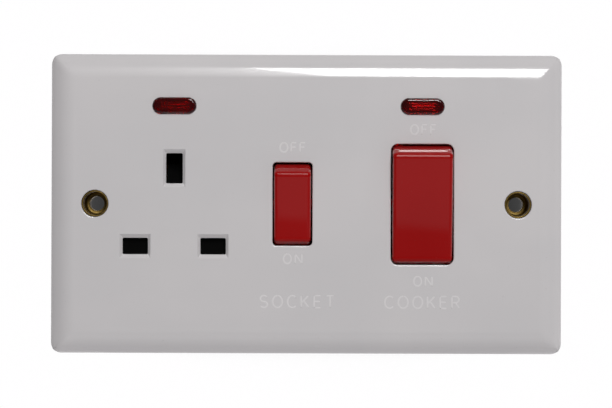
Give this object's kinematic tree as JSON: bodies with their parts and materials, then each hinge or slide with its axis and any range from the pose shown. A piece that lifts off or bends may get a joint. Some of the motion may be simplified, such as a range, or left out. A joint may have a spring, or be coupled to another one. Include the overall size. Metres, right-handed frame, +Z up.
{
  "type": "cooker control unit",
  "caption": "White wall plate with a large red cooker rocker switch, a switched three-pin socket outlet and red neon indicators.",
  "frame": {"origin": "midway between the two fixing holes, on the wall surface behind the plate's rim", "axes": "+X to the right along the plate, +Y into the wall, +Z up"},
  "size_m": [0.1462, 0.0377, 0.0856],
  "materials": {
    "white_moulding": "glossy moulded",
    "red_moulding": "glossy moulded",
    "red_lens": "clear red, glossy",
    "black_moulding": "moulded, satin",
    "shutter_black": "moulded, satin",
    "natural_nylon": "moulded",
    "brass": "bright",
    "contact_brass": "stamped",
    "plated_steel": "zinc plated",
    "spring_steel": "drawn wire",
    "lamp_glass": "clear",
    "lead_wire": "tinned wire",
    "resistor_body": "lacquered"
  },
  "bodies": {
    "base": {"front_plate": "white_moulding", "rear_housing": "black_moulding", "housing_screws": "plated_steel", "load_live_terminal": "brass", "load_neutral_terminal": "brass", "supply_live_terminal": "brass", "supply_neutral_terminal": "brass", "socket_supply_link": "contact_brass", "live_socket_contact": "contact_brass", "neutral_socket_contact": "contact_brass", "earth_terminal": "brass", "earth_strap": "contact_brass", "terminal_screws": "plated_steel", "left_fixing_eyelet": "brass", "right_fixing_eyelet": "brass", "shutter_spring": "spring_steel", "cooker_neon_lens": "red_lens", "socket_neon_lens": "red_lens", "cooker_neon_lamp": "lamp_glass", "socket_neon_lamp": "lamp_glass", "cooker_neon_leads": "lead_wire", "socket_neon_leads": "lead_wire", "cooker_neon_resistor": "resistor_body", "socket_neon_resistor": "resistor_body"},
    "cooker_rocker": {"cooker_rocker": "red_moulding", "cooker_live_plunger_spring": "spring_steel", "cooker_neutral_plunger_spring": "spring_steel"},
    "cooker_live_plunger": {"cooker_live_plunger": "natural_nylon"},
    "cooker_neutral_plunger": {"cooker_neutral_plunger": "natural_nylon"},
    "cooker_live_bridge": {"cooker_live_bridge": "contact_brass"},
    "cooker_neutral_bridge": {"cooker_neutral_bridge": "contact_brass"},
    "socket_rocker": {"socket_rocker": "red_moulding", "socket_plunger_spring": "spring_steel"},
    "socket_switch_plunger": {"socket_switch_plunger": "natural_nylon"},
    "socket_bridge": {"socket_bridge": "contact_brass"},
    "shutter": {"shutter": "shutter_black"}
  },
  "joints": [
    {"name": "cooker_rocker_tilt", "type": "hinge", "parent": "base", "child": "cooker_rocker", "pos_m": [0.033, -0.004, 0], "axis": [-1, 0, 0], "range_deg": [0, 14]},
    {"name": "socket_rocker_tilt", "type": "hinge", "parent": "base", "child": "socket_rocker", "pos_m": [-0.004, -0.004, 0], "axis": [-1, 0, 0], "range_deg": [0, 14]},
    {"name": "cooker_live_bridge_rock", "type": "hinge", "parent": "base", "child": "cooker_live_bridge", "pos_m": [0.0282, 0.0083, 0], "axis": [-1, 0, 0], "range_deg": [-12, 0]},
    {"name": "cooker_neutral_bridge_rock", "type": "hinge", "parent": "base", "child": "cooker_neutral_bridge", "pos_m": [0.0378, 0.0083, 0], "axis": [-1, 0, 0], "range_deg": [-12, 0]},
    {"name": "socket_bridge_rock", "type": "hinge", "parent": "base", "child": "socket_bridge", "pos_m": [-0.004, 0.0083, 0], "axis": [-1, 0, 0], "range_deg": [-12, 0]},
    {"name": "cooker_live_plunger_slide", "type": "slide", "parent": "cooker_rocker", "child": "cooker_live_plunger", "axis": [0, -0.9925, -0.1219], "range_m": [0, 0.0009], "stiffness_N_per_m": 500, "springref_m": -0.002, "deforming": ["cooker_live_plunger_spring"]},
    {"name": "cooker_neutral_plunger_slide", "type": "slide", "parent": "cooker_rocker", "child": "cooker_neutral_plunger", "axis": [0, -0.9925, -0.1219], "range_m": [0, 0.0009], "stiffness_N_per_m": 500, "springref_m": -0.002, "deforming": ["cooker_neutral_plunger_spring"]},
    {"name": "socket_switch_plunger_slide", "type": "slide", "parent": "socket_rocker", "child": "socket_switch_plunger", "axis": [0, -0.9925, -0.1219], "range_m": [0, 0.0009], "stiffness_N_per_m": 500, "springref_m": -0.002, "deforming": ["socket_plunger_spring"]},
    {"name": "shutter_slide", "type": "slide", "parent": "base", "child": "shutter", "axis": [0, 0, -1], "range_m": [0, 0.0056], "stiffness_N_per_m": 150, "springref_m": -0.003, "deforming": ["shutter_spring"]}
  ],
  "couplings": [
    {"joint": "cooker_live_bridge_rock", "follows": "cooker_rocker_tilt", "ratio": -0.85714},
    {"joint": "cooker_neutral_bridge_rock", "follows": "cooker_rocker_tilt", "ratio": -0.85714},
    {"joint": "socket_bridge_rock", "follows": "socket_rocker_tilt", "ratio": -0.85714}
  ]
}
